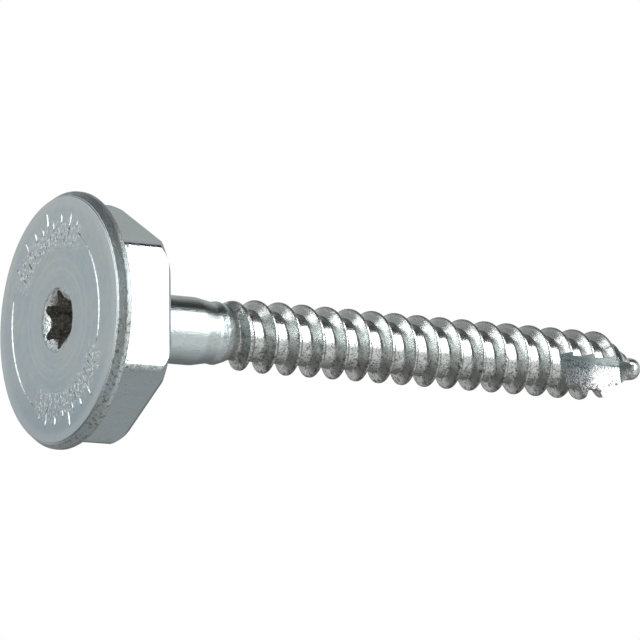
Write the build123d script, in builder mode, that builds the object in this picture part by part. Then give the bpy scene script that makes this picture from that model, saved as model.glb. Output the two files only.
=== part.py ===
"""Leveling screw: flanged hexagon head, plain neck, coarse thread and a notched tip.

One cold-formed steel piece that stands on the flat face of its head.
Millimetres, +Z up along the shank, origin at the centre of the face.
"""

import os
from math import atan2, cos, degrees, radians, sin

from build123d import *

# ---------------------------------------------------------------- head
overall_length = 80.0
head_across_flats = 24.0
head_height = 8.2
hex_corner_round = 0.4
hex_back_round = 2.2
hex_back_steps = 3

face_diameter = 28.0
face_edge_chamfer = 0.2
flange_diameter = 29.2
flange_taper_height = 0.95
flange_thickness = 1.6

# ---------------------------------------------------------------- star recess in the face
recess_outer = 6.75
recess_inner = 4.85
recess_lobe_radius = 0.55
recess_lobes = 6
recess_turn = 0.0
recess_depth = 3.6
recess_floor_dip = 0.9
lead_in_diameter = 7.6
lead_in_depth = 0.6

# ---------------------------------------------------------------- neck and core
neck_diameter = 7.86
neck_length = 8.9
neck_root_flare = 0.4
waist_diameter = 7.1
waist_rise = 2.0
bead_diameter = 7.35
bead_rise = 0.9
core_diameter = 5.9
core_rise = 1.6

# ---------------------------------------------------------------- thread
thread_diameter = 8.4
thread_pitch = 3.175
crest_width = 0.3
thread_turn = 9.0
thread_first_height = 9.688
thread_lead = 1.2
ridge_foot = 1.95
run_in_rise = 0.4
thread_full_rise = 3.1
run_in_diameter = 7.8

# ---------------------------------------------------------------- tip, measured back from its end
thread_back = 3.2
thread_full_back = 6.5
thread_break_back = 4.8
thread_break_diameter = 6.6
thread_last_back = 3.7
thread_last_diameter = 4.4
taper_back = 6.5
taper_break_back = 3.8
taper_break_diameter = 4.0
nose_back = 2.1
nose_diameter = 2.7
nose_round = 1.25
nose_steps = 3

# ---------------------------------------------------------------- cutting notch
notch_turn = 84.0
notch_offset = 0.2
notch_end_back = 2.8
notch_floor_back = 4.3
notch_wheel_radius = 16.0

# ---------------------------------------------------------------- worked out from the above
clear = 1.0
slope_30 = sin(radians(30)) / cos(radians(30))
neck_radius = neck_diameter / 2
neck_start = head_height + neck_root_flare
neck_end = neck_start + neck_length
waist_height = neck_end + waist_rise
bead_height = waist_height + bead_rise
bead_end = 2 * bead_height - waist_height
core_start = bead_height + core_rise
thread_start = core_start - thread_lead
run_in_height = core_start + run_in_rise
thread_full = run_in_height + thread_full_rise
waist_radius = waist_diameter / 2
core_radius = core_diameter / 2
crest_radius = thread_diameter / 2
run_in_radius = waist_radius - 0.15
run_in_stretch = (crest_radius + clear - run_in_diameter / 2) / (crest_radius - run_in_diameter / 2)
run_out_stretch = (crest_radius + clear - thread_break_diameter / 2) / (
    crest_radius - thread_break_diameter / 2
)
thread_end = overall_length - thread_back
thread_full_end = overall_length - thread_full_back
thread_break = overall_length - thread_break_back
thread_last = overall_length - thread_last_back
taper_start = overall_length - taper_back
taper_break = overall_length - taper_break_back
nose_start = overall_length - nose_back
nose_radius = nose_diameter / 2
notch_end = overall_length - notch_end_back
notch_floor_start = overall_length - notch_floor_back
hex_corner_radius = head_across_flats / 2 / cos(radians(30))
thread_phase = thread_turn + 360 * (thread_start - thread_first_height) / thread_pitch
ridge_plane = Plane(
    (0, 0, thread_start),
    x_dir=(cos(radians(thread_phase)), sin(radians(thread_phase)), 0),
    z_dir=(sin(radians(thread_phase)), -cos(radians(thread_phase)), 0),
)
notch_plane = Plane(
    (notch_offset, 0, 0),
    x_dir=(cos(radians(notch_turn)), sin(radians(notch_turn)), 0),
    z_dir=(sin(radians(notch_turn)), -cos(radians(notch_turn)), 0),
)


def flank_half_width(radius):
    """Half the axial width of the thread ridge at a radius."""
    return crest_width / 2 + (crest_radius - radius) * slope_30


def rolled_edge(radius, height, size, steps):
    """Points of a rounded outer edge at a radius and height, as a few straight steps."""
    turns = [radians(90 * k / steps) for k in range(steps + 1)]
    return [(radius - size * (1 - cos(a)), height - size * (1 - sin(a))) for a in turns]


def notch_floor_point(rise):
    """Point of the wheel's curve at a rise above the notch floor."""
    run = (notch_wheel_radius**2 - (notch_wheel_radius - rise) ** 2) ** 0.5
    return (rise, notch_floor_start - run)


def star_edges():
    """Arcs of the six-lobe outline: small outer lobes joined by larger inner arcs."""
    lobe_centre = recess_outer / 2 - recess_lobe_radius
    inner = recess_inner / 2
    half_step = 180 / recess_lobes
    c = cos(radians(half_step))
    arc_radius = (recess_lobe_radius**2 - lobe_centre**2 - inner**2 + 2 * lobe_centre * inner * c) / (
        2 * (inner - lobe_centre * c - recess_lobe_radius)
    )
    arc_centre = inner + arc_radius
    lobe_sweep = degrees(
        atan2(arc_centre * sin(radians(half_step)), arc_centre * c - lobe_centre)
    )
    arc_sweep = lobe_sweep - half_step
    for k in range(recess_lobes):
        turn = recess_turn + 2 * half_step * k
        lobe_at = Vector(lobe_centre, 0).rotate(Axis.Z, turn)
        CenterArc(lobe_at, recess_lobe_radius, turn - lobe_sweep, 2 * lobe_sweep)
        turn += half_step
        arc_at = Vector(arc_centre, 0).rotate(Axis.Z, turn)
        CenterArc(arc_at, arc_radius, turn + 180 + arc_sweep, -2 * arc_sweep)


with BuildPart() as leveling_screw:
    # Hexagon with its back corners rolled over in forming.
    with BuildSketch():
        RegularPolygon(radius=head_across_flats / 2, side_count=6, major_radius=False)
        fillet(vertices(), radius=hex_corner_round)
    extrude(amount=head_height)
    with BuildSketch(Plane.XZ):
        with BuildLine():
            Polyline(
                (0, 0),
                (hex_corner_radius, 0),
                *rolled_edge(hex_corner_radius, head_height, hex_back_round, hex_back_steps),
                (0, head_height),
                close=True,
            )
        make_face()
    revolve(axis=Axis.Z, mode=Mode.INTERSECT)

    # Round flange, widest near its back.
    with BuildSketch(Plane.XZ):
        with BuildLine():
            Polyline(
                (0, 0),
                (face_diameter / 2 - face_edge_chamfer, 0),
                (face_diameter / 2, face_edge_chamfer / 2),
                (flange_diameter / 2, flange_taper_height),
                (flange_diameter / 2, flange_thickness),
                (0, flange_thickness),
                close=True,
            )
        make_face()
    revolve(axis=Axis.Z)

    # Neck, waist, bead, core and tapered nose, turned in one profile.
    with BuildSketch(Plane.XZ):
        with BuildLine():
            Polyline(
                (0, head_height - clear),
                (neck_radius + neck_root_flare, head_height - clear),
                (neck_radius + neck_root_flare, head_height),
                (neck_radius, neck_start),
                (neck_radius, neck_end),
                (waist_radius, waist_height),
                (bead_diameter / 2, bead_height),
                (run_in_radius, bead_end),
                (core_radius, core_start),
                (core_radius, taper_start),
                (taper_break_diameter / 2, taper_break),
                (nose_radius, nose_start),
                *rolled_edge(nose_radius, overall_length, nose_round, nose_steps),
                (0, overall_length),
                close=True,
            )
        make_face()
    revolve(axis=Axis.Z)

    # Thread ridge, swept with its foot inside the core.
    with BuildLine(Plane.XY.rotated((0, 0, thread_phase))):
        ridge_path = Helix(
            pitch=thread_pitch,
            height=thread_end - thread_start,
            radius=core_radius,
            center=(0, 0, thread_start),
        )
    with BuildSketch(ridge_plane):
        with BuildLine():
            Polyline(
                (ridge_foot, -flank_half_width(ridge_foot)),
                (crest_radius, -crest_width / 2),
                (crest_radius, crest_width / 2),
                (ridge_foot, flank_half_width(ridge_foot)),
                close=True,
            )
        make_face()
    sweep(path=ridge_path, is_frenet=True)

    # The ridge rises from the bead and dies away at the nose.
    with BuildSketch(Plane.XZ):
        with BuildLine():
            Polyline(
                (run_in_radius, bead_end),
                (run_in_diameter / 2, run_in_height),
                (crest_radius + clear, run_in_height + (thread_full - run_in_height) * run_in_stretch),
                (crest_radius + clear, bead_end),
                close=True,
            )
        make_face()
        with BuildLine():
            Polyline(
                (crest_radius + clear, thread_break - (thread_break - thread_full_end) * run_out_stretch),
                (thread_break_diameter / 2, thread_break),
                (thread_last_diameter / 2, thread_last),
                (thread_last_diameter / 2, overall_length),
                (crest_radius + clear, overall_length),
                close=True,
            )
        make_face()
    revolve(axis=Axis.Z, mode=Mode.SUBTRACT)

    # Quarter notch: its floor runs out on the curve of the cutting wheel and ramps up at the nose.
    with BuildSketch(notch_plane):
        with BuildLine():
            ThreePointArc(
                (0, notch_floor_start),
                notch_floor_point(notch_wheel_radius / 4),
                notch_floor_point(notch_wheel_radius / 2),
            )
            Polyline(
                notch_floor_point(notch_wheel_radius / 2),
                (notch_wheel_radius / 2, notch_end + notch_wheel_radius / 2),
                (0, notch_end),
                (0, notch_floor_start),
            )
        make_face()
    extrude(amount=-(crest_radius + clear), mode=Mode.SUBTRACT)

    # Star recess in the face: a lead-in cone, six lobes and a dished floor.
    with BuildSketch():
        with BuildLine():
            star_edges()
        make_face()
    extrude(amount=recess_depth, mode=Mode.SUBTRACT)
    with BuildSketch(Plane.XZ):
        with BuildLine():
            Polyline(
                (0, 0),
                (lead_in_diameter / 2, 0),
                (recess_inner / 2, lead_in_depth),
                (recess_inner / 2, recess_depth),
                (0, recess_depth + recess_floor_dip),
                close=True,
            )
        make_face()
    revolve(axis=Axis.Z, mode=Mode.SUBTRACT)

os.makedirs("parts", exist_ok=True)
leveling_screw.part.label = "leveling_screw"
export_step(leveling_screw.part, "parts/leveling_screw.step")
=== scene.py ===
"""Zinc-plated leveling screw, standing on the flat face of its head.

Metres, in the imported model's frame: +Z runs along the shank to the tip.
"""

from bisect import bisect_right
from math import atan2, ceil, cos, hypot, pi, radians, sin, sqrt, tan

import bmesh
import bpy
from mathutils import Matrix, Vector


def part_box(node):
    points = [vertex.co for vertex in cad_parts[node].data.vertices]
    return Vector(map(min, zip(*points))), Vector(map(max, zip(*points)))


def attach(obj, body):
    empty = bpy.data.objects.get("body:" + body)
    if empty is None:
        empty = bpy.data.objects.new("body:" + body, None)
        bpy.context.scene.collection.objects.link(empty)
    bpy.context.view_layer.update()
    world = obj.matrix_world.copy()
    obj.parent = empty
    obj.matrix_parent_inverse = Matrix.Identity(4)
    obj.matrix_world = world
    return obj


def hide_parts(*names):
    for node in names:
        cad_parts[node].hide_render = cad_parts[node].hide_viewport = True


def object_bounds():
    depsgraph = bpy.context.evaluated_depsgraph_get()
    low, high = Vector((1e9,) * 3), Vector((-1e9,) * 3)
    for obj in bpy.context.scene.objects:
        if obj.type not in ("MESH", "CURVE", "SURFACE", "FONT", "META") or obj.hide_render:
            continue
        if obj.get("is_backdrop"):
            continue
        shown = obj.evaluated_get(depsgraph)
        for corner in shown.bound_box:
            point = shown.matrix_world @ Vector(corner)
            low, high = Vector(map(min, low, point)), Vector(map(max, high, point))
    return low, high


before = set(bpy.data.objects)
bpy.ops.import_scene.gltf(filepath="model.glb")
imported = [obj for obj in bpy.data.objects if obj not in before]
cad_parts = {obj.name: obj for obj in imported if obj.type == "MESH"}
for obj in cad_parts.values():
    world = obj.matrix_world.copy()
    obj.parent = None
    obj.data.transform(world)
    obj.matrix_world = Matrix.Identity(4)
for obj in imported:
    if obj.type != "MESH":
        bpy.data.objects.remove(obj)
cad_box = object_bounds()

# ---------------------------------------------------------------- sizes, in millimetres and degrees
MM = 0.001
NODE = "leveling_screw"
_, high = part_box(NODE)
overall_length = high.z / MM
flange_radius = high.x / MM

head_across_flats = 24.0
head_height = 8.2
hex_edge_round = 0.8
hex_rim_round = 0.7
hex_back_round = 2.2
face_radius = 14.0
face_edge_round = 0.3
flange_taper_height = 0.95
flange_thickness = 1.6
flange_rim_round = 0.5
flange_back_round = 0.2
apothem = head_across_flats / 2

recess_outer = 6.75
recess_inner = 4.85
recess_lobe_radius = 0.55
recess_lobes = 6
recess_turn = 0.0
recess_depth = 3.6
recess_floor_dip = 0.9
lead_in_radius = 3.8
lead_in_depth = 0.6
recess_bottom = recess_depth + recess_floor_dip

neck_radius = 3.93
neck_flare = 0.4
neck_end = 17.4
waist_radius = 3.55
waist_height = 19.5
bead_radius = 3.68
bead_height = 20.4
run_in_radius = 3.4
bead_end = 21.3
core_start = 22.2

# The middle of the ridge is at thread_first_height where the azimuth is thread_turn.
core_radius = 2.95
crest_radius = 4.2
crest_width = 0.3
crest_round = 0.14
root_round = 0.35
flank_angle = 30.0
thread_pitch = 3.175
thread_turn = 9.0
thread_first_height = 9.688
thread_foot = 20.8

taper_start = overall_length - 6.5
taper_break = overall_length - 3.8
taper_break_radius = 2.0
nose_start = overall_length - 2.1
nose_radius = 1.35
nose_round = 1.25
nose_foot = overall_length - nose_round

notch_turn = 84.0
notch_offset = 0.2
notch_end = overall_length - 2.8
notch_floor_start = overall_length - 4.3
notch_wheel_radius = 16.0
notch_reach = 5.0

# Each arc has its own centre (x, y), radius, start and end azimuth.
relief_depth = 0.1
relief_width = 0.28
relief_arcs = ((-0.15, -1.67, 11.42, 36.2, 109.5), (0.59, 0.61, 11.52, 213.1, 289.8))
# Each fan of strokes has a start and an end azimuth; each row of a fan has a radius, length and step.
stroke_fans = ((121.0, 207.0), (303.0, 388.0))
stroke_rows = ((10.5, 2.0, 8.5), (9.0, 1.1, 6.5))

# Steps of the turned shapes and of one turn of the thread, and the distances within which points merge.
steps_round = 192
steps_thread = 96
pole_gap = 1e-4
seam_gap = 1e-3


# ---------------------------------------------------------------- outlines
def rounded(corners, segments=5):
    """Points of a polyline whose corners (a, b, radius) are rounded by tangent arcs."""
    points = []
    for k, (a, b, radius) in enumerate(corners):
        here = Vector((a, b))
        if not radius:
            points.append(here)
            continue
        back = (Vector(corners[k - 1][:2]) - here).normalized()
        ahead = (Vector(corners[k + 1][:2]) - here).normalized()
        half = back.angle(ahead) / 2
        centre = here + (back + ahead).normalized() * radius / sin(half)
        start = here + back * radius / tan(half) - centre
        end = here + ahead * radius / tan(half) - centre
        turn = start.angle_signed(end)
        for j in range(segments + 1):
            points.append(centre + Matrix.Rotation(-turn * j / segments, 2) @ start)
    return points


def spoke(azimuth):
    """Unit vector out from the axis at an azimuth in degrees."""
    return Vector((cos(radians(azimuth)), sin(radians(azimuth)), 0))


def flank_half_width(radius):
    """Half the axial width of the thread ridge at a radius."""
    return crest_width / 2 + (crest_radius - radius) * tan(radians(flank_angle))


# Radius against height of the turned blank under the thread: (radius, height, rounding).
blank = rounded(
    [
        (neck_radius + neck_flare, head_height - 2, 0),
        (neck_radius + neck_flare, head_height, 0),
        (neck_radius, head_height + neck_flare, 0.6),
        (neck_radius, neck_end, 4.0),
        (waist_radius, waist_height, 1.6),
        (bead_radius, bead_height, 0.35),
        (run_in_radius, bead_end, 0.8),
        (core_radius, core_start, 1.0),
        (core_radius, taper_start, 1.5),
        (taper_break_radius, taper_break, 1.0),
        (nose_radius, nose_start, 0.8),
        (nose_radius, nose_foot, 0),
        (nose_radius, overall_length, nose_round),
        (0, overall_length, 0),
    ],
    segments=8,
)
# Largest radius that the ridge may reach at a height: it rises from the bead and dies at the nose.
ridge_limit = [
    (run_in_radius, thread_foot),
    (3.9, thread_foot + 1.6),
    (crest_radius + 0.01, thread_foot + 4.7),
    (crest_radius + 0.01, overall_length - 6.8),
    (4.05, overall_length - 6.1),
    (3.75, overall_length - 5.4),
    (3.3, overall_length - 4.8),
    (2.2, overall_length - 3.7),
    (2.1, overall_length - 3.0),
    (1.5, overall_length - 2.2),
    (nose_radius, overall_length - 1.6),
]


def radius_at(outline, height):
    """Radius of an outline at a height, by straight lines between its points."""
    k = bisect_right(outline, height, key=lambda p: p[1])
    k = min(max(k, 1), len(outline) - 1)
    (r0, z0), (r1, z1) = outline[k - 1], outline[k]
    share = min(max((height - z0) / max(z1 - z0, 1e-9), 0), 1)
    return r0 + (r1 - r0) * share


# ---------------------------------------------------------------- mesh helpers
def make_object(name, bm):
    """Turns a bmesh drawn in millimetres into an object in metres."""
    bmesh.ops.recalc_face_normals(bm, faces=bm.faces)
    bmesh.ops.scale(bm, vec=(MM, MM, MM), verts=bm.verts)
    mesh = bpy.data.meshes.new(name)
    bm.to_mesh(mesh)
    bm.free()
    obj = bpy.data.objects.new(name, mesh)
    bpy.context.scene.collection.objects.link(obj)
    return obj


def combine(target, tool, operation):
    """Adds, cuts or intersects one closed piece with another, which is used up."""
    step = target.modifiers.new(operation.lower(), "BOOLEAN")
    step.operation = operation
    step.solver = "MANIFOLD"
    step.object = tool
    graph = bpy.context.evaluated_depsgraph_get()
    graph.update()
    mesh = bpy.data.meshes.new_from_object(target.evaluated_get(graph))
    target.modifiers.clear()
    target.data = mesh
    bpy.data.objects.remove(tool)


def turned(name, outline):
    """A solid of revolution from (radius, height) points that start and end on the axis."""
    bm = bmesh.new()
    verts = [bm.verts.new((r, 0, z)) for r, z in outline]
    edges = [bm.edges.new(pair) for pair in zip(verts, verts[1:])]
    bmesh.ops.spin(
        bm,
        geom=verts + edges,
        cent=(0, 0, 0),
        axis=(0, 0, 1),
        angle=2 * pi,
        steps=steps_round,
        use_merge=True,
    )
    bmesh.ops.remove_doubles(bm, verts=bm.verts, dist=pole_gap)
    return make_object(name, bm)


def prism(name, outline, bottom, top):
    """A closed outline of (x, y) points, extruded from one height to another."""
    bm = bmesh.new()
    base = bm.faces.new([bm.verts.new((x, y, bottom)) for x, y in outline])
    raised = bmesh.ops.extrude_face_region(bm, geom=[base])["geom"]
    moved = [g for g in raised if isinstance(g, bmesh.types.BMVert)]
    bmesh.ops.translate(bm, vec=(0, 0, top - bottom), verts=moved)
    return make_object(name, bm)


def tube(bm, rings):
    """A closed tube through rings of points, with a face at each end."""
    rings = [[bm.verts.new(point) for point in ring] for ring in rings]
    for a, b in zip(rings, rings[1:]):
        for j in range(len(a)):
            bm.faces.new((a[j - 1], a[j], b[j], b[j - 1]))
    bm.faces.new(rings[0][::-1])
    bm.faces.new(rings[-1])


# ---------------------------------------------------------------- the screw
def hexagon_ring(height, inset):
    """Points round the hexagon at a height, its flats drawn in by an inset and its edges rounded."""
    reach = (apothem - inset - hex_edge_round) / cos(radians(30))
    for k in range(6):
        for j in range(-2, 3):
            point = spoke(60 * k) * reach + spoke(60 * k + 15 * j) * hex_edge_round
            yield point + Vector((0, 0, height))


def hexagon():
    """Hexagon that starts inside the flange, its back corners rolled over in forming."""
    rings = [hexagon_ring(flange_thickness / 4, 0)]
    steps = 6
    for j in range(steps + 1):
        lean = radians(90 * j / steps)
        height = head_height - hex_rim_round * (1 - sin(lean))
        rings.append(hexagon_ring(height, hex_rim_round * (1 - cos(lean))))
    bm = bmesh.new()
    tube(bm, rings)
    head = make_object("head", bm)
    corner = apothem / cos(radians(30))
    outline = [(0, 0, 0), (corner, 0, 0), (corner, head_height, hex_back_round), (0, head_height, 0)]
    combine(head, turned("rolled", rounded(outline, segments=14)), "INTERSECT")
    return head


def flange():
    """Round flange with a conical rim, widest near its back."""
    outline = rounded(
        [
            (0, 0, 0),
            (face_radius - 0.05, 0, face_edge_round),
            (flange_radius, flange_taper_height, flange_rim_round),
            (flange_radius, flange_thickness, flange_back_round),
            (0.75 * apothem, flange_thickness, 0),
            (0, flange_thickness, 0),
        ]
    )
    return turned("flange", outline)


def ring_out(bm, edges, stations):
    """Carries a ring of edges on through (radius, height) stations and closes it with a disc."""
    for radius, height in stations:
        grown = bmesh.ops.extrude_edge_only(bm, edges=edges)["geom"]
        edges = [g for g in grown if isinstance(g, bmesh.types.BMEdge)]
        for vert in {v for e in edges for v in e.verts}:
            azimuth = atan2(vert.co.y, vert.co.x)
            vert.co = Vector((radius * cos(azimuth), radius * sin(azimuth), height))
    bmesh.ops.holes_fill(bm, edges=edges, sides=0)


def threaded_core():
    """Bmesh of the ridge and the core between its turns, from below the thread's foot to past the tip."""
    # The ridge's height at azimuth 0, raised by whole turns as far as the spun turns still cover the foot.
    first = thread_first_height - thread_pitch * thread_turn / 360
    skipped = (thread_foot - thread_pitch / 2 - first) // thread_pitch
    start = first + skipped * thread_pitch
    turns = ceil((overall_length - start) / thread_pitch) + 1
    root = flank_half_width(core_radius)
    outline = rounded(
        [
            (core_radius, start - thread_pitch / 2, 0),
            (core_radius, start - root, root_round),
            (crest_radius, start - crest_width / 2, crest_round),
            (crest_radius, start + crest_width / 2, crest_round),
            (core_radius, start + root, root_round),
            (core_radius, start + thread_pitch / 2, 0),
        ]
    )
    bm = bmesh.new()
    verts = [bm.verts.new((r, 0, z)) for r, z in outline]
    edges = [bm.edges.new(pair) for pair in zip(verts, verts[1:])]
    bmesh.ops.spin(
        bm,
        geom=verts + edges,
        cent=(0, 0, 0),
        axis=(0, 0, 1),
        dvec=(0, 0, thread_pitch / steps_thread),
        angle=2 * pi,
        steps=steps_thread,
    )
    one_turn = bm.verts[:] + bm.edges[:] + bm.faces[:]
    for k in range(1, turns):
        copied = bmesh.ops.duplicate(bm, geom=one_turn)["geom"]
        moved = [g for g in copied if isinstance(g, bmesh.types.BMVert)]
        bmesh.ops.translate(bm, vec=(0, 0, k * thread_pitch), verts=moved)
    bmesh.ops.remove_doubles(bm, verts=bm.verts, dist=seam_gap)
    return bm


def shank():
    """Neck, thread and nose: the thread is shaped by height, cut off and carried on at both ends."""
    bm = threaded_core()
    for vert in bm.verts:
        spun = hypot(vert.co.x, vert.co.y)
        core = radius_at(blank, vert.co.z)
        radius = core
        if spun > core_radius + pole_gap:
            radius = max(core, min(spun, radius_at(ridge_limit, vert.co.z)))
        vert.co.x *= radius / spun
        vert.co.y *= radius / spun

    for height, side in ((thread_foot, "clear_inner"), (nose_foot, "clear_outer")):
        bmesh.ops.bisect_plane(
            bm,
            geom=bm.verts[:] + bm.edges[:] + bm.faces[:],
            plane_co=(0, 0, height),
            plane_no=(0, 0, 1),
            **{side: True},
        )
    bmesh.ops.remove_doubles(bm, verts=bm.verts, dist=seam_gap)

    # What the blank still needs below and above the cuts; the nose is closed by a small disc.
    near = 0.02
    below = [(r, z) for r, z in reversed(blank) if z < thread_foot - near]
    above = [(r, z) for r, z in blank if z > nose_foot + near and r > 0.05]
    for height, stations in ((thread_foot, below), (nose_foot, above)):
        ring = [e for e in bm.edges if e.is_boundary and abs(e.verts[0].co.z - height) < near / 2]
        ring_out(bm, ring, stations)
    return make_object("shank", bm)


def star_outline():
    """Six outer lobes joined by larger inner arcs."""
    half_step = radians(180 / recess_lobes)
    lobe_centre = recess_outer / 2 - recess_lobe_radius
    inner = recess_inner / 2
    c = cos(half_step)
    arc_radius = (recess_lobe_radius**2 - lobe_centre**2 - inner**2 + 2 * lobe_centre * inner * c) / (
        2 * (inner - lobe_centre * c - recess_lobe_radius)
    )
    arc_centre = inner + arc_radius
    lobe_sweep = atan2(arc_centre * sin(half_step), arc_centre * c - lobe_centre)
    arc_sweep = lobe_sweep - half_step
    steps = 6
    points = []
    for k in range(recess_lobes):
        turn = radians(recess_turn) + 2 * half_step * k
        for j in range(-steps, steps + 1):
            a = turn + lobe_sweep * j / steps
            reach = Vector((cos(turn), sin(turn))) * lobe_centre
            points.append(reach + Vector((cos(a), sin(a))) * recess_lobe_radius)
        turn += half_step
        for j in range(steps - 1, -steps, -1):
            a = turn + pi + arc_sweep * j / steps
            reach = Vector((cos(turn), sin(turn))) * arc_centre
            points.append(reach + Vector((cos(a), sin(a))) * arc_radius)
    return points


def recess_cutters():
    """The star's walls, and its lead-in cone with the dished floor, both standing proud of the face."""
    proud = 0.3
    yield prism("star", star_outline(), -proud, recess_depth)
    inner = recess_inner / 2 - 0.02
    slope = (lead_in_radius - inner) / lead_in_depth
    outline = rounded(
        [
            (0, -proud, 0),
            (lead_in_radius + proud * slope, -proud, 0),
            (inner, lead_in_depth, 0.5),
            (inner, recess_depth, 0),
            (0, recess_bottom, 0),
        ]
    )
    yield turned("lead_in", outline)


def notch_cutter():
    """Quarter notch: its floor runs out on the curve of the cutting wheel and ramps up at the nose."""
    rise = notch_wheel_radius / 2
    steps = 12
    outline = [(0, notch_end), (rise, notch_end + rise)]
    for k in range(steps + 1):
        h = rise * (1 - k / steps) ** 2
        run = sqrt(notch_wheel_radius**2 - (notch_wheel_radius - h) ** 2)
        outline.append((h, notch_floor_start - run))
    cutter = prism("notch", outline, -notch_reach, 0)
    along = spoke(notch_turn)
    basis = Matrix((along, (0, 0, 1), (along.y, -along.x, 0))).transposed()
    cutter.data.transform(Matrix.Translation((notch_offset * MM, 0, 0)) @ basis.to_4x4())
    return cutter


def groove(bm, path):
    """A V-shaped cutter through (point, half width as a vector) pairs, standing proud of the face."""
    # Share of the groove's depth by which its cutter stands out of the face.
    proud = 0.6
    rings = []
    for point, half in path:
        foot = Vector((0, 0, -proud * relief_depth))
        wide = half * (1 + proud)
        rings.append([point + r for r in (foot - wide, Vector((0, 0, relief_depth)), foot + wide)])
    tube(bm, rings)


def taper(k, steps, first, growth):
    """Share of the full width at a step: first at both ends, then growing with each step inwards to 1."""
    return min(1, growth * min(k, steps - k) + first)


def arc_mark(bm, x, y, radius, start, end):
    """One thin arc in the face."""
    steps = 60
    path = []
    for k in range(steps + 1):
        out = spoke(start + (end - start) * k / steps)
        uneven = 0.93 + 0.07 * sin(1.7 * k)
        width = relief_width * 0.55 * (taper(k, steps, 0.25, 0.2) * uneven)
        path.append((Vector((x, y, 0)) + out * radius, out * width))
    groove(bm, path)


def stroke_mark(bm, k, azimuth, inner, length):
    """The k-th radial stroke of a row, a little uneven in place and length."""
    steps = 6
    start = inner + 0.35 * sin(3 * k)
    reach = length * (0.75 + 0.35 * sin(4.1 * k))
    side = spoke(azimuth + 90) * (relief_width / 2 * min(length, 1.3))
    path = []
    for j in range(steps + 1):
        path.append((spoke(azimuth) * (start + reach * j / steps), side * taper(j, steps, 0.3, 0.5)))
    groove(bm, path)


def face_marks():
    """Two thin arcs and two fans of plain, uneven strokes in the face."""
    bm = bmesh.new()
    for arc in relief_arcs:
        arc_mark(bm, *arc)
    for start, end in stroke_fans:
        for inner, length, step in stroke_rows:
            for k in range(int((end - start) / step)):
                azimuth = start + (k + 0.5 + 0.25 * sin(5 * k)) * step
                stroke_mark(bm, k, azimuth, inner, length)
    return make_object("marks", bm)


def build_screw():
    """The whole screw as one closed piece."""
    screw = flange()
    combine(screw, hexagon(), "UNION")
    combine(screw, shank(), "UNION")
    for cutter in recess_cutters():
        combine(screw, cutter, "DIFFERENCE")
    combine(screw, notch_cutter(), "DIFFERENCE")
    combine(screw, face_marks(), "DIFFERENCE")
    screw.name = "zinc_screw"
    screw.data.name = "zinc_screw"
    bm = bmesh.new()
    bm.from_mesh(screw.data)
    bmesh.ops.remove_doubles(bm, verts=bm.verts, dist=2 * seam_gap * MM)
    bmesh.ops.dissolve_degenerate(bm, edges=bm.edges, dist=seam_gap * MM)
    bmesh.ops.recalc_face_normals(bm, faces=bm.faces)
    bm.to_mesh(screw.data)
    bm.free()
    screw.data.shade_smooth()
    screw.data.set_sharp_from_angle(angle=radians(32))
    weigh = screw.modifiers.new("weigh", "WEIGHTED_NORMAL")
    weigh.keep_sharp = True
    weigh.weight = 80
    return screw


# ---------------------------------------------------------------- shader expressions
class Socket:
    """A node socket that takes part in sums as a number would."""

    def __init__(self, shader, link):
        self.shader = shader
        self.link = link

    def maths(self, operation, *values):
        return self.shader.node("ShaderNodeMath", {"operation": operation}, values)

    def __add__(self, other):
        return self.maths("ADD", self, other)

    def __radd__(self, other):
        return self.maths("ADD", other, self)

    def __sub__(self, other):
        return self.maths("SUBTRACT", self, other)

    def __rsub__(self, other):
        return self.maths("SUBTRACT", other, self)

    def __mul__(self, other):
        return self.maths("MULTIPLY", self, other)

    def __rmul__(self, other):
        return self.maths("MULTIPLY", other, self)

    def __truediv__(self, other):
        return self.maths("DIVIDE", self, other)

    def __pow__(self, other):
        return self.maths("POWER", self, other)

    def least(self, other):
        return self.maths("MINIMUM", self, other)

    def most(self, other):
        return self.maths("MAXIMUM", self, other)

    def between(self, start, end):
        """0 at start, 1 at end, held outside; start may be the greater one."""
        settings = {"interpolation_type": "SMOOTHSTEP"}
        values = {"Value": self, "From Min": start, "From Max": end}
        return self.shader.node("ShaderNodeMapRange", settings, values)

    def band(self, start, full, last, end):
        """1 from full to last, fading to 0 at start and at end."""
        return self.between(start, full) * (1 - self.between(last, end))


class Shader:
    """Builds the nodes of one material or world."""

    def __init__(self, owner):
        owner.use_nodes = True
        self.tree = owner.node_tree
        self.tree.nodes.clear()

    def node(self, kind, settings=None, values=(), output=0):
        """Adds a node: its settings first, then the values or links of its inputs, by name or place."""
        made = self.tree.nodes.new(kind)
        for key, value in (settings or {}).items():
            setattr(made, key, value)
        pairs = values.items() if isinstance(values, dict) else enumerate(values)
        for key, value in pairs:
            if isinstance(value, Socket):
                self.tree.links.new(value.link, made.inputs[key])
            else:
                made.inputs[key].default_value = value
        return Socket(self, made.outputs[output]) if made.outputs else None

    def mix(self, share, a, b):
        """A colour that goes from a to b as share goes from 0 to 1."""
        a, b = ((*c, 1) if isinstance(c, tuple) else c for c in (a, b))
        return self.node("ShaderNodeMix", {"data_type": "RGBA"}, {0: share, 6: a, 7: b}, output=2)

    def parts(self, vector):
        """The x, y and z of a vector."""
        split = self.node("ShaderNodeSeparateXYZ", values=(vector,))
        return [Socket(self, output) for output in split.link.node.outputs]

    def noise(self, place, scale, detail, roughness=0.5):
        values = {"Vector": place, "Scale": scale, "Detail": detail, "Roughness": roughness}
        return self.node("ShaderNodeTexNoise", values=values)

    def out(self, surface):
        kind = "World" if isinstance(self.tree.id_data, bpy.types.World) else "Material"
        self.node("ShaderNodeOutput" + kind, values=(surface,))


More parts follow.
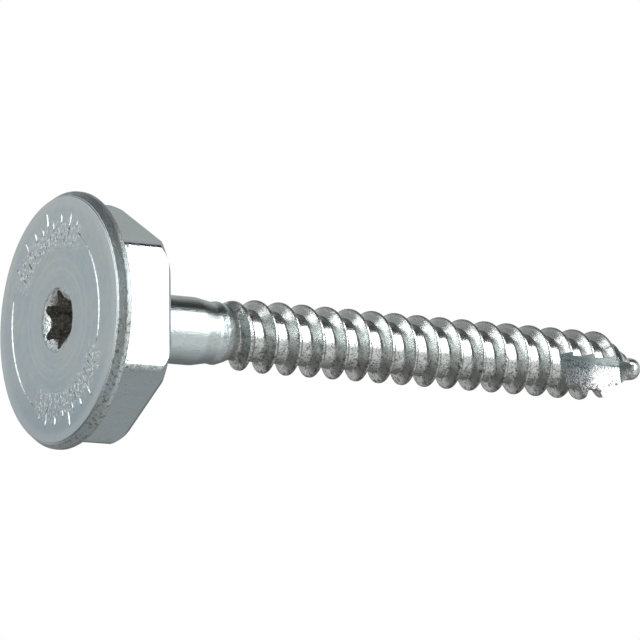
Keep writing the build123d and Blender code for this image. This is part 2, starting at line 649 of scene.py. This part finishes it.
# ---------------------------------------------------------------- zinc finish
# Colours of the plating, the face, its marks and the dirt, and of painted shade, light and highlights.
zinc_blue = (0.54, 0.625, 0.665)
zinc_green = (0.56, 0.635, 0.63)
zinc_cloud = (0.70, 0.71, 0.70)
zinc_stain = (0.47, 0.46, 0.42)
zinc_pit = (0.20, 0.21, 0.22)
# Painted shade for the hexagon's high facets, then painted light for its low facets.
hexagon_painted_shade = (0.45, 0.55, 0.54)
hexagon_painted_light = (0.60, 0.70, 0.73)
thread_zinc = (0.76, 0.80, 0.78)
thread_shade = (0.40, 0.42, 0.40)
# Painted shade on the crests at the high and low edges of the main view.
crest_painted_shade = (0.36, 0.355, 0.33)
# Painted highlight for the notch floor at the tip end, and dark specks of painted shade for the rest of
# it.
notch_painted_highlight = (0.92, 0.94, 0.94)
notch_painted_shade_speck = (0.13, 0.17, 0.22)
notch_wall = (0.58, 0.67, 0.675)

face_blue = (0.44, 0.515, 0.555)
face_green = (0.485, 0.535, 0.525)
face_cloud = (0.385, 0.445, 0.475)
face_ring = (0.66, 0.70, 0.71)
face_shade = (0.31, 0.395, 0.45)
face_rim = (0.66, 0.69, 0.69)
# Painted glints speckled over the fans of strokes.
fan_painted_glint = (0.85, 0.88, 0.88)
# Painted highlight along the arcs and strokes.
stroke_painted_highlight = (0.90, 0.92, 0.91)

# Dark brown dirt, also used as painted shade on the low side and in the crease at the ledge.
grime_and_shade_brown = (0.075, 0.055, 0.04)
recess_brown = (0.23, 0.175, 0.125)
recess_black = (0.03, 0.02, 0.014)
recess_grey = (0.62, 0.59, 0.55)
recess_fleck = (0.86, 0.81, 0.73)

# The two clearest rings that turning has left on the face.
tool_ring_radii = (5.775, 6.875)


class Zones:
    """Masks of the screw's surfaces by place in millimetres: 1 on a surface, fading to 0 around it."""

    def __init__(self, s, place):
        x, y, z = s.parts(place)
        # The -x side lies low in the main view.
        low = 0 - x
        self.radius = radius = (x * x + y * y) ** 0.5
        self.low_side = low.between(-1.5, 3.5)

        self.face = 1 - z.between(0.02, 0.12)
        self.low_face = low.between(3.0, 14.0)
        self.face_rim = radius.between(face_radius - 1.7, face_radius - 0.6)
        inner, outer = (radius.band(r - 0.275, r - 0.025, r + 0.025, r + 0.275) for r in tool_ring_radii)
        self.tool_rings = inner + outer
        cut = z.band(0.01, 0.04, relief_depth + 0.02, 2 * relief_depth)
        self.marks = cut * radius.band(7.0, 7.5, 13.0, 13.3)
        first, second = (self.toward(x, y, (start + end) / 2) for start, end in stroke_fans)
        self.fans = (first + second) * self.face * radius.band(7.6, 9.0, 10.2, 12.4)

        near_axis = 1 - radius.between(lead_in_radius - 0.1, lead_in_radius + 0.1)
        self.lead_in = near_axis * z.band(0.02, 0.08, recess_bottom, recess_bottom + 1)
        self.recess = self.lead_in * z.between(lead_in_depth - 0.15, lead_in_depth + 0.15)

        self.flange_side = radius.between(face_radius - 0.2, face_radius) * z.between(0.1, 0.2)
        self.high_flange_side = self.flange_side * x.between(6.0, 13.0)
        back = flange_thickness
        at_ledge = z.band(back - 0.15, back, back + 0.05, back + 0.2)
        self.ledge = at_ledge * radius.between(apothem - 0.2, apothem + 0.2)
        at_foot = z.band(back - 0.1, back, back + 0.1, back + 1.4)
        self.hexagon_foot = at_foot * radius.between(apothem - 0.6, apothem)

        at_hexagon = z.band(back + 0.05, back + 0.2, head_height - 0.2, head_height + 0.4)
        hexagon = at_hexagon * radius.between(apothem - 2.5, apothem - 1.5)
        # The high facets take painted shade, the low facets painted light.
        self.high_hexagon = hexagon * x.between(5.0, 10.0)
        self.low_hexagon = hexagon * low.between(5.0, 10.0)
        self.hexagon_corner = hexagon * radius.between(apothem + 1.2, apothem + 1.7)

        self.thread = z.between(thread_foot - 0.2, thread_foot + 1.2)
        self.neck = z.between(head_height - 0.2, head_height + 0.8) * (1 - self.thread)
        self.first_turns = z.band(thread_foot - 1.2, thread_foot, thread_foot + 1.2, thread_foot + 6.2)
        self.root = 1 - radius.between(core_radius + 0.05, core_radius + 0.7)
        self.crest = radius.between(crest_radius - 0.5, crest_radius - 0.05) * self.thread
        # Crests at the high and low edges of the main view, which take painted shade.
        self.painted_shade_crest = self.crest * (low.between(0.5, 4.0) + x.between(1.5, 4.0)).least(1.0)

        self.tip_end = z.between(overall_length - 8, overall_length - 6)
        self.find_notch(x - notch_offset, y, z)

    def toward(self, x, y, azimuth):
        """1 within 43 degrees of an azimuth, fading to 0 at 52."""
        facing = (x * cos(radians(azimuth)) + y * sin(radians(azimuth))) / self.radius
        return facing.between(cos(radians(52)), cos(radians(43)))

    def find_notch(self, x, y, z):
        """The notch's flat wall, and its floor, which is curved where the cutting wheel ran out."""
        turn = radians(notch_turn)
        along = x * cos(turn) + y * sin(turn)
        across = y * cos(turn) - x * sin(turn)
        notch = along.least(across).between(-0.06, -0.02)
        notch = notch * z.between(overall_length - 17, overall_length - 15)
        drop = (notch_floor_start - z).most(0.0)
        above = along - (notch_wheel_radius - (notch_wheel_radius**2 - drop * drop) ** 0.5)
        self.notch_wall = notch * (1 - across.between(0.03, 0.08)) * above.between(-0.06, -0.02)
        self.notch_floor = notch * (1 - (above * above).between(0.002, 0.008)) * (1 - self.notch_wall)


class Grains:
    """Noises of the plating, from broad patches to fine grain."""

    def __init__(self, s, place, radius):
        self.patches = s.noise(place, 0.22, 3.0)
        self.stains = s.noise(place, 0.45, 5.0, 0.65)
        self.clouds = s.noise(place, 0.9, 4.0, 0.6)
        self.spots = s.noise(place, 1.3, 6.0, 0.75)
        self.pocks = s.noise(place, 2.4, 3.0, 0.7)
        self.specks = s.noise(place, 3.6, 5.0, 0.75)
        self.grain = s.noise(place, 5.0, 3.0, 0.65)
        self.fine = s.noise(place, 14.0, 2.0, 0.6)
        self.rings = s.noise(s.node("ShaderNodeCombineXYZ", values=(radius,)), 2.2, 3.0, 0.6)


def face_colour(s, on, noise):
    """Bluish face with faint turned rings, paler at its rim, with painted shade on its low side."""
    tint = s.mix(noise.patches.between(0.35, 0.65), face_blue, face_green)
    tint = s.mix(noise.clouds.between(0.3, 0.75) * 0.6, tint, face_cloud)
    tint = s.mix(noise.rings.between(0.4, 0.7) * 0.14, tint, face_ring)
    tint = s.mix(on.tool_rings * noise.clouds.between(0.4, 0.6) * 0.35, tint, face_ring)
    # Painted shade on the face's low side.
    tint = s.mix(on.low_face * 0.75, tint, face_shade)
    return s.mix(on.face_rim * 0.3, tint, face_rim)


def plating_colour(s, on, noise):
    """The clean plating, with painted shade and highlights: tinted patches, then the face, the marks, the
    crests and the notch.
    """
    tint = s.mix(noise.patches.between(0.35, 0.65), zinc_blue, zinc_green)
    tint = s.mix(on.thread * 0.8, tint, thread_zinc)
    # Painted shade on the thread's low side.
    tint = s.mix(on.thread * on.low_side * 0.4, tint, thread_shade)
    tint = s.mix(noise.stains.between(0.5, 0.68) * (1 - on.thread) * 0.6, tint, zinc_stain)
    tint = s.mix(noise.clouds.between(0.45, 0.8) * 0.4, tint, zinc_cloud)
    # Painted shade on the hexagon's high facets and painted light on its low facets.
    tint = s.mix(on.high_hexagon * 0.6, tint, hexagon_painted_shade)
    tint = s.mix(on.low_hexagon * 0.6, tint, hexagon_painted_light)
    tint = s.mix(on.face, tint, face_colour(s, on, noise))
    # Painted glints: pale specks over the fans of strokes.
    tint = s.mix(on.fans * noise.pocks.between(0.51, 0.63), tint, fan_painted_glint)
    # Painted highlights along the arcs and strokes, broken up by noise.
    tint = s.mix(on.marks * (0.3 + 0.7 * noise.pocks.between(0.42, 0.56)), tint, stroke_painted_highlight)
    # Painted shade: darker, warmer crests at the high and low edges of the view.
    tint = s.mix(on.painted_shade_crest * 0.6, tint, crest_painted_shade)
    # Painted highlight on the notch floor at the tip end; painted shade in dark specks on the rest.
    tint = s.mix(on.notch_floor * on.tip_end, tint, notch_painted_highlight)
    speckled = on.notch_floor * (1 - on.tip_end)
    tint = s.mix(speckled * noise.specks.between(0.44, 0.54) * 0.9, tint, notch_painted_shade_speck)
    return s.mix(on.notch_wall, tint, notch_wall)


def grime_and_shade_share(on, noise):
    """How much dirt lies in the thread, recess and head's edges, plus painted shade low down and at the
    ledge.
    """
    thread = noise.specks.between(0.49, 0.60) * noise.clouds.between(0.33, 0.55) * on.thread
    # More on the low side of the view: painted shade mixed with the dirt.
    thread = thread * (0.3 + 0.7 * on.low_side) * (0.4 + 0.6 * on.crest.most(on.root))
    thread = thread + noise.spots.between(0.52, 0.58) * on.thread * (0.3 * on.crest + 0.6 * on.low_side)
    thread = thread + on.first_turns * noise.pocks.between(0.52, 0.62) * 0.6
    head = on.recess * (0.3 + 0.6 * noise.pocks.between(0.6, 0.44))
    head = head + on.lead_in * noise.pocks.between(0.51, 0.58) * 0.8
    # On the flange side's low half this is partly painted shade; the hexagon's foot is speckled with dirt.
    head = head + (on.flange_side * on.low_side + on.hexagon_foot) * noise.pocks.between(0.52, 0.64) * 0.8
    head = head + on.hexagon_corner * noise.pocks.between(0.50, 0.58) * 0.5
    # Painted shade in the crease at the ledge; brown stains on the high flange side.
    head = head + on.ledge * 0.5 + on.high_flange_side * noise.clouds.between(0.42, 0.62) * 0.45
    return (thread + head).least(1.0)


def dirt_and_shade_colour(s, on, noise):
    """Dark brown, for dirt and painted shade, and lighter dirt with black patches and pale flecks in the
    recess.
    """
    dirt = s.mix(on.recess, grime_and_shade_brown, recess_brown)
    dirt = s.mix(on.recess * noise.clouds.between(0.53, 0.46) * 0.9, dirt, recess_black)
    dirt = s.mix(on.recess * noise.pocks.between(0.55, 0.61) * 0.6, dirt, recess_grey)
    flecks = noise.specks.between(0.50, 0.60) * noise.pocks.between(0.42, 0.52)
    return s.mix(on.recess * flecks, dirt, recess_fleck)


def skin_height(on, noise):
    """Height of the plating's skin in millimetres, roughest on the side of the flange."""
    rough = 0.15 * on.thread + 0.6 * on.crest + 0.9 * on.neck + 2.6 * on.flange_side + 1.4 * on.lead_in
    rough = rough + on.notch_floor
    height = noise.grain * (0.012 + 0.028 * rough) + noise.fine * 0.003 + noise.clouds * 0.014
    return height + noise.pocks * (0.02 * rough + 0.11 * on.fans) + on.face * noise.rings * 0.006


def zinc_finish():
    """Bright zinc plating: fine grain, faint tints, dark specks, dirt in thread and recess, painted shade
    and highlights.
    """
    material = bpy.data.materials.new("zinc_plate")
    s = Shader(material)
    metres = s.node("ShaderNodeTexCoord", output="Object")
    place = s.node("ShaderNodeVectorMath", {"operation": "SCALE"}, {0: metres, "Scale": 1 / MM})
    on = Zones(s, place)
    noise = Grains(s, place, on.radius)

    grime_and_shade = grime_and_shade_share(on, noise)
    # Dirt, with painted shade on the low side and at the ledge, over the plating.
    colour = s.mix(grime_and_shade * 0.9, plating_colour(s, on, noise), dirt_and_shade_colour(s, on, noise))
    colour = s.mix(noise.grain.between(0.62, 0.72) * 0.6, colour, zinc_pit)
    roughness = 0.09 + 0.08 * noise.clouds + 0.06 * noise.grain + grime_and_shade * 0.3
    roughness = roughness + on.face * 0.26 + on.notch_wall * 0.2 + on.flange_side * 0.14 + on.thread * 0.05
    height = skin_height(on, noise) * MM
    normal = s.node("ShaderNodeBump", values={"Strength": 1.0, "Distance": 1.0, "Height": height})
    values = {"Base Color": colour, "Metallic": 1 - grime_and_shade * 0.7, "Roughness": roughness, "Normal": normal}
    s.out(s.node("ShaderNodeBsdfPrincipled", values=values))
    return material


# ---------------------------------------------------------------- studio
# The camera looks up at the head's face from beside the shank, turned so that the shank is nearly level.
camera_azimuth = radians(101.64)
camera_elevation = radians(-31.07)
camera_roll = radians(95.12)
camera_reach = 0.5283
camera_target = Vector((2.54, 0.52, 34.4)) * MM
camera_lens = 255.2

# Patches of the surroundings, aimed by the camera's right, up and back: (aim, wide, narrow, strength).
# A patch is full within the narrow angle and gone at the wide one, both in degrees.
glows = (
    ((0.87, 0.37, 0.30), 42, 16, 0.75),
    ((0.77, -0.54, 0.33), 37, 12, 0.45),
    ((-0.88, 0.08, -0.47), 60, 25, 0.36),
    ((0.31, -0.88, -0.35), 35, 10, 0.12),
    ((-0.86, 0.02, 0.50), 36, 14, 0.45),
    ((0.13, 0.48, -0.87), 34, 12, 0.14),
)
shades = (
    ((0.53, 0.78, -0.30), 32, 18, 0.88),
    ((-0.05, 0.30, 0.95), 48, 24, 0.80),
    ((-0.28, 0.80, 0.25), 45, 25, 0.70),
    ((-0.30, 0.83, -0.46), 34, 16, 0.70),
    ((0.97, 0.20, -0.15), 34, 16, 0.30),
    ((0.07, -0.60, -0.80), 45, 15, 0.50),
    ((-0.85, -0.50, -0.08), 36, 16, 0.70),
)
glows_over_shades = (
    ((-0.45, 0.45, 0.78), 15, 7, 1.3),
    ((0.85, 0.12, -0.52), 32, 12, 0.30),
)
base_level = 0.38
floor_radius = 3.0


def place_camera():
    """The main camera, and its right, up and back directions."""
    back = Vector(
        (
            cos(camera_azimuth) * cos(camera_elevation),
            sin(camera_azimuth) * cos(camera_elevation),
            sin(camera_elevation),
        )
    )
    turn = Matrix.Rotation(camera_roll, 3, back)
    facing = turn @ (-back).to_track_quat("-Z", "Y").to_matrix()
    data = bpy.data.cameras.new("camera")
    data.lens = camera_lens
    data.clip_start = 0.01
    camera = bpy.data.objects.new("camera", data)
    camera.matrix_world = Matrix.Translation(camera_target + back * camera_reach) @ facing.to_4x4()
    bpy.context.scene.collection.objects.link(camera)
    bpy.context.scene.camera = camera
    return facing.col[0].copy(), facing.col[1].copy(), facing.col[2].copy()


def lamp(name, direction, upright, distance, width, height, watts):
    """A soft rectangular lamp that looks at the middle of the screw."""
    data = bpy.data.lights.new(name, "AREA")
    data.shape = "RECTANGLE"
    data.size = width
    data.size_y = height
    data.energy = watts
    obj = bpy.data.objects.new(name, data)
    z_axis = direction.normalized()
    x_axis = (upright - z_axis * upright.dot(z_axis)).normalized()
    y_axis = z_axis.cross(x_axis)
    middle = Vector((0, 0, overall_length / 2 * MM))
    turn = Matrix((x_axis, y_axis, z_axis)).transposed().to_4x4()
    obj.matrix_world = Matrix.Translation(middle + z_axis * distance) @ turn
    bpy.context.scene.collection.objects.link(obj)


def surroundings(right, up, back):
    """Grey surroundings with bright and dark patches for the metal to reflect, white to the camera."""
    world = bpy.data.worlds.new("studio")
    bpy.context.scene.world = world
    s = Shader(world)
    sight = s.node("ShaderNodeTexCoord", output="Generated")

    def patch(aim, wide, narrow, strength):
        direction = right * aim[0] + up * aim[1] + back * aim[2]
        values = {0: sight, 1: tuple(direction.normalized())}
        facing = s.node("ShaderNodeVectorMath", {"operation": "DOT_PRODUCT"}, values, output="Value")
        return strength * facing.between(cos(radians(wide)), cos(radians(narrow)))

    level = base_level
    for glow in glows:
        level = level + patch(*glow)
    for shade in shades:
        level = level * (1 - patch(*shade))
    for glow in glows_over_shades:
        level = level + patch(*glow)
    grey = s.mix(level, (0.0, 0.0, 0.0), (1.0, 1.0, 1.0))
    reflected = s.node("ShaderNodeBackground", values={"Color": grey, "Strength": 1.0})
    white = s.node("ShaderNodeBackground", values={"Color": (1, 1, 1, 1), "Strength": 1.0})
    camera_ray = s.node("ShaderNodeLightPath", output="Is Camera Ray")
    s.out(s.node("ShaderNodeMixShader", values=(camera_ray, reflected, white)))


def floor_finish():
    """Pale floor that only the camera sees, and only from above."""
    material = bpy.data.materials.new("pale_floor")
    s = Shader(material)
    place = s.node("ShaderNodeTexCoord", output="Object")
    far = s.node("ShaderNodeVectorMath", {"operation": "LENGTH"}, (place,), output="Value")
    paint = s.node("ShaderNodeBsdfDiffuse", values={"Color": (0.86, 0.86, 0.86, 1)})
    glow = s.node("ShaderNodeEmission", values={"Color": (1, 1, 1, 1), "Strength": 1.0})
    top = s.node("ShaderNodeMixShader", values=(0.25 + 0.75 * far.between(0.08, 0.5), paint, glow))
    clear = s.node("ShaderNodeBsdfTransparent")
    below = s.node("ShaderNodeNewGeometry", output="Backfacing")
    camera_ray = s.node("ShaderNodeLightPath", output="Is Camera Ray")
    s.out(s.node("ShaderNodeMixShader", values=(camera_ray * (1 - below), clear, top)))
    return material


def lay_floor():
    """A wide floor with a hole under the flat face, so that the two don't touch."""
    bm = bmesh.new()
    bmesh.ops.create_circle(bm, radius=(face_radius - 0.2) * MM, segments=96)
    bmesh.ops.create_circle(bm, radius=floor_radius, segments=96)
    bmesh.ops.bridge_loops(bm, edges=bm.edges[:])
    bmesh.ops.recalc_face_normals(bm, faces=bm.faces)
    if bm.faces[:][0].normal.z < 0:
        bmesh.ops.reverse_faces(bm, faces=bm.faces)
    mesh = bpy.data.meshes.new("floor")
    bm.to_mesh(mesh)
    bm.free()
    floor = bpy.data.objects.new("floor", mesh)
    floor.data.materials.append(floor_finish())
    bpy.context.scene.collection.objects.link(floor)
    floor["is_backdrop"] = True


def studio(right, up, back):
    """Lamps, surroundings and floor."""
    key_aim = right * 0.868 + up * 0.395 + back * 0.29
    lamp("key", key_aim, Vector((0, 0, 1)), distance=0.9, width=0.26, height=0.90, watts=3.5)
    side_aim = -right * 0.84 + up * 0.36 + back * 0.38
    lamp("side", side_aim, right, distance=0.9, width=0.46, height=0.66, watts=2.3)
    surroundings(right, up, back)
    lay_floor()


screw = build_screw()
screw.data.materials.clear()
screw.data.materials.append(zinc_finish())
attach(screw, "root")
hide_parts(NODE)
studio(*place_camera())
bpy.context.scene.view_settings.view_transform = "Standard"

boxes = {"cad": cad_box, "visual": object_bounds()}
{key: [list(corner) for corner in box] for key, box in boxes.items()}
